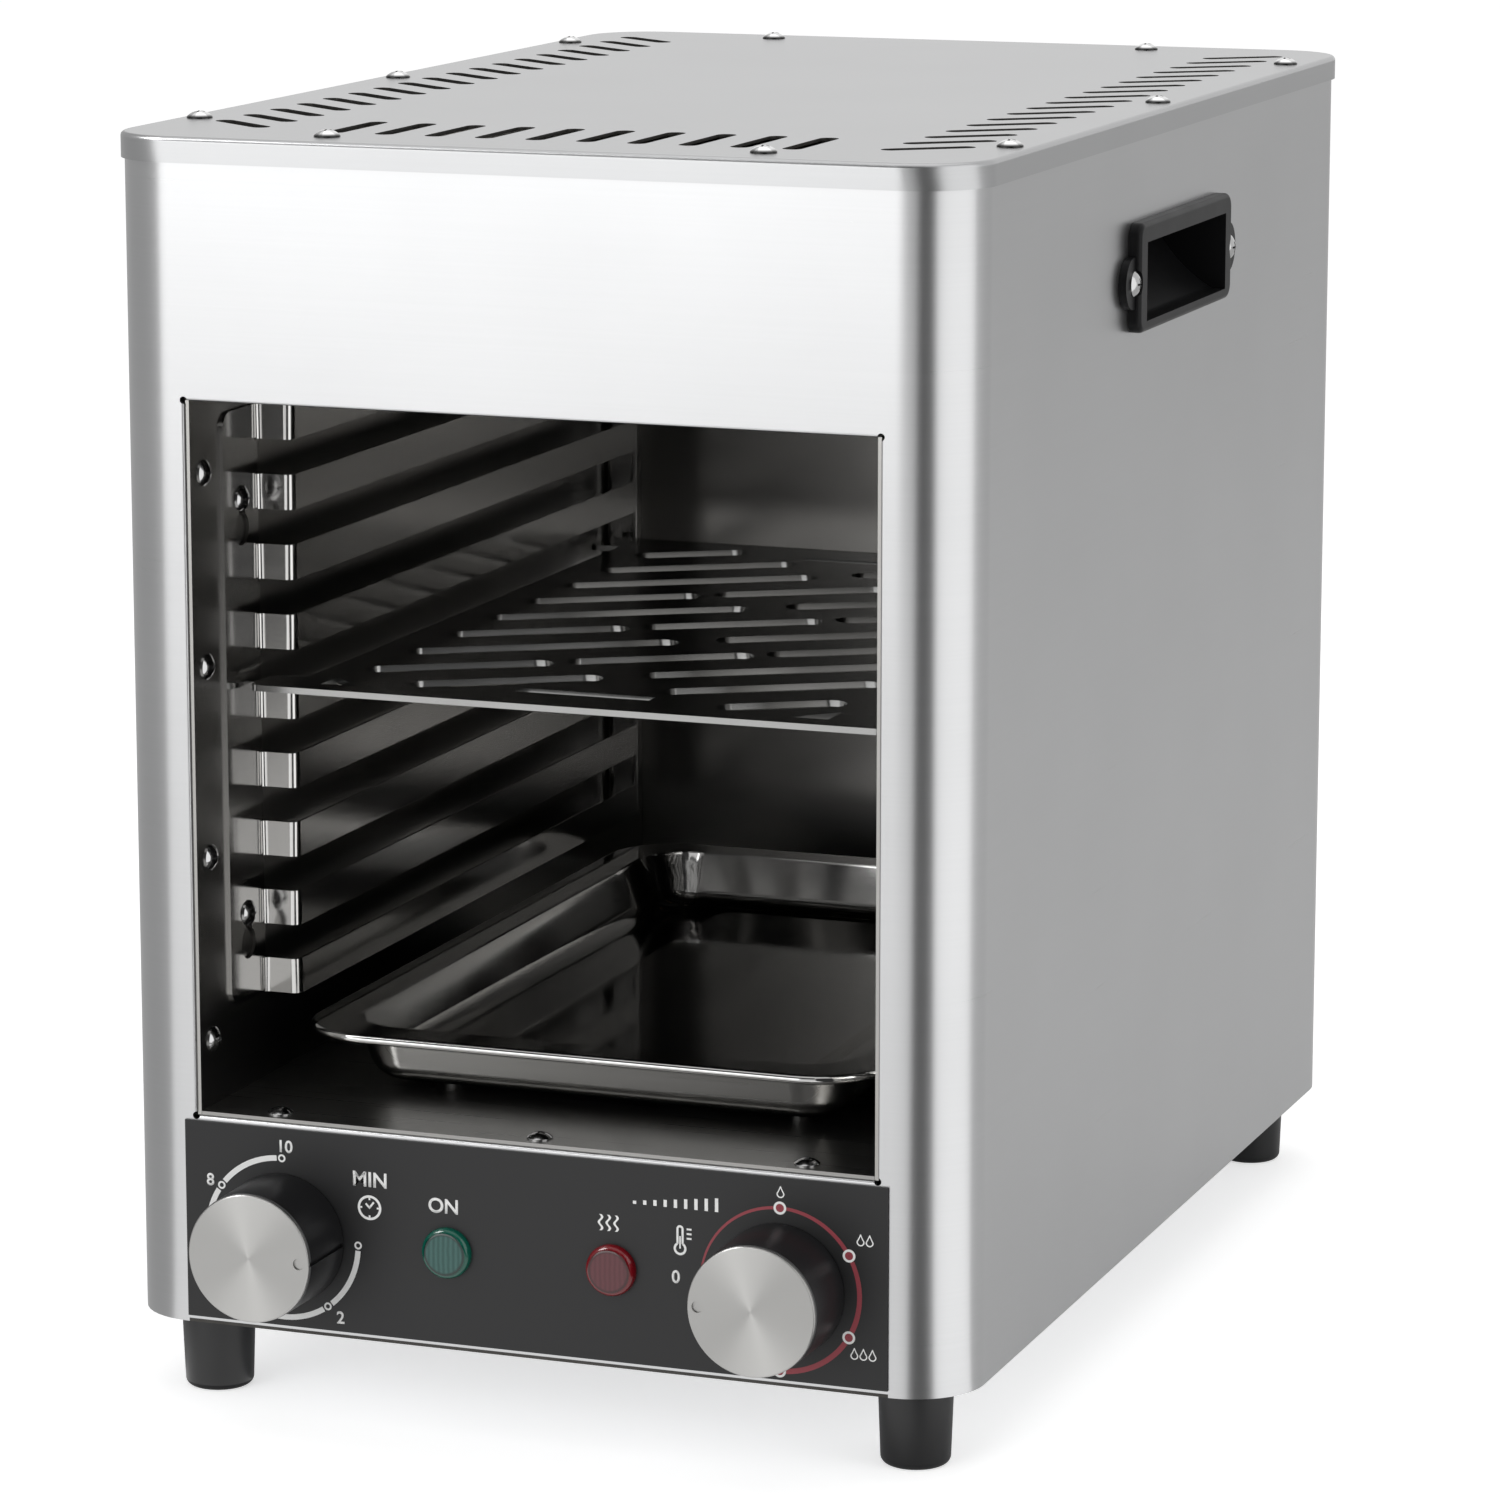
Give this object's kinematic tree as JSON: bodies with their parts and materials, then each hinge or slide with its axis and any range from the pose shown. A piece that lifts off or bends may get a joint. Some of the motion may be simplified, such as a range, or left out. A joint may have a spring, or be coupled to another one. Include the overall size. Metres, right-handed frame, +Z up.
{
  "type": "electric steak grill",
  "caption": "Upright steel countertop grill with an open front, slotted racks, a pull-out grill plate and drip tray, and a black panel with a timer knob and a temperature knob.",
  "frame": {"origin": "middle of the bounding box's footprint, on the table surface under the feet", "axes": "X across, right as seen from the front; Y from front to back, front towards -Y; Z up"},
  "size_m": [0.2938, 0.47, 0.4099],
  "materials": {
    "satin_steel": "brushed",
    "zinc_steel": "zinc plated",
    "polished_steel": "polished",
    "rack_steel": "polished",
    "plate_steel": "polished",
    "tray_steel": "satin",
    "screw_steel": "polished",
    "knob_face": "turned",
    "knob_black": "gloss",
    "panel_black": "satin",
    "handle_black": "fine grain",
    "switch_plastic": "moulded",
    "foot_rubber": "matt",
    "green_lens": "translucent",
    "red_lens": "translucent",
    "heater_tube": "oxidised",
    "ceramic": "glazed",
    "copper_tube": "drawn",
    "wire_sleeve": "smooth",
    "mineral_wool": "fibrous"
  },
  "bodies": {
    "cabinet": {"outer_wrap": "satin_steel", "top_cover": "satin_steel", "back_panel": "satin_steel", "base_plate": "zinc_steel", "heat_shield": "zinc_steel", "chamber_left_wall": "polished_steel", "chamber_right_wall": "polished_steel", "chamber_floor": "polished_steel", "chamber_back_wall": "polished_steel", "chamber_ceiling": "polished_steel", "element_hanger_front": "polished_steel", "element_hanger_rear": "polished_steel", "rack_left": "rack_steel", "rack_right": "rack_steel", "top_cover_screws": "screw_steel", "back_panel_screws": "screw_steel", "chamber_wall_screws": "screw_steel", "chamber_floor_screws": "screw_steel", "rack_screws": "screw_steel", "handle_screws": "screw_steel", "foot_screws": "screw_steel", "control_panel": "panel_black", "side_handle_left": "handle_black", "side_handle_right": "handle_black", "cord_gland": "handle_black", "cord_gland_nut": "handle_black", "timer_body": "switch_plastic", "thermostat_body": "switch_plastic", "power_lamp_holder": "switch_plastic", "heating_lamp_holder": "switch_plastic", "terminal_block": "switch_plastic", "thermal_cutout": "switch_plastic", "foot_front_left": "foot_rubber", "foot_front_right": "foot_rubber", "foot_back_left": "foot_rubber", "foot_back_right": "foot_rubber", "power_lamp_lens": "green_lens", "heating_lamp_lens": "red_lens", "heating_element": "heater_tube", "element_bushing_left": "ceramic", "element_bushing_right": "ceramic", "thermostat_sensor": "copper_tube", "wiring": "wire_sleeve", "insulation_left": "mineral_wool", "insulation_right": "mineral_wool", "insulation_top": "mineral_wool", "insulation_back": "mineral_wool"},
    "timer_knob": {"timer_knob": "knob_black", "timer_knob_cap": "knob_face", "timer_shaft": "screw_steel"},
    "temperature_knob": {"temperature_knob": "knob_black", "temperature_knob_cap": "knob_face", "thermostat_shaft": "screw_steel"},
    "grill_plate": {"grill_plate": "plate_steel"},
    "drip_tray": {"drip_tray": "tray_steel"}
  },
  "joints": [
    {"name": "timer_turn", "type": "hinge", "parent": "cabinet", "child": "timer_knob", "pos_m": [-0.0848, -0.208, 0.0587], "axis": [0, 1, 0], "range_deg": [0, 270]},
    {"name": "temperature_turn", "type": "hinge", "parent": "cabinet", "child": "temperature_knob", "pos_m": [0.0833, -0.208, 0.0587], "axis": [0, 1, 0], "range_deg": [0, 270]},
    {"name": "grill_plate_slide", "type": "slide", "parent": "cabinet", "child": "grill_plate", "axis": [0, -1, 0], "range_m": [0, 0.3]},
    {"name": "drip_tray_slide", "type": "slide", "parent": "cabinet", "child": "drip_tray", "axis": [0, -1, 0], "range_m": [0, 0.3]}
  ]
}
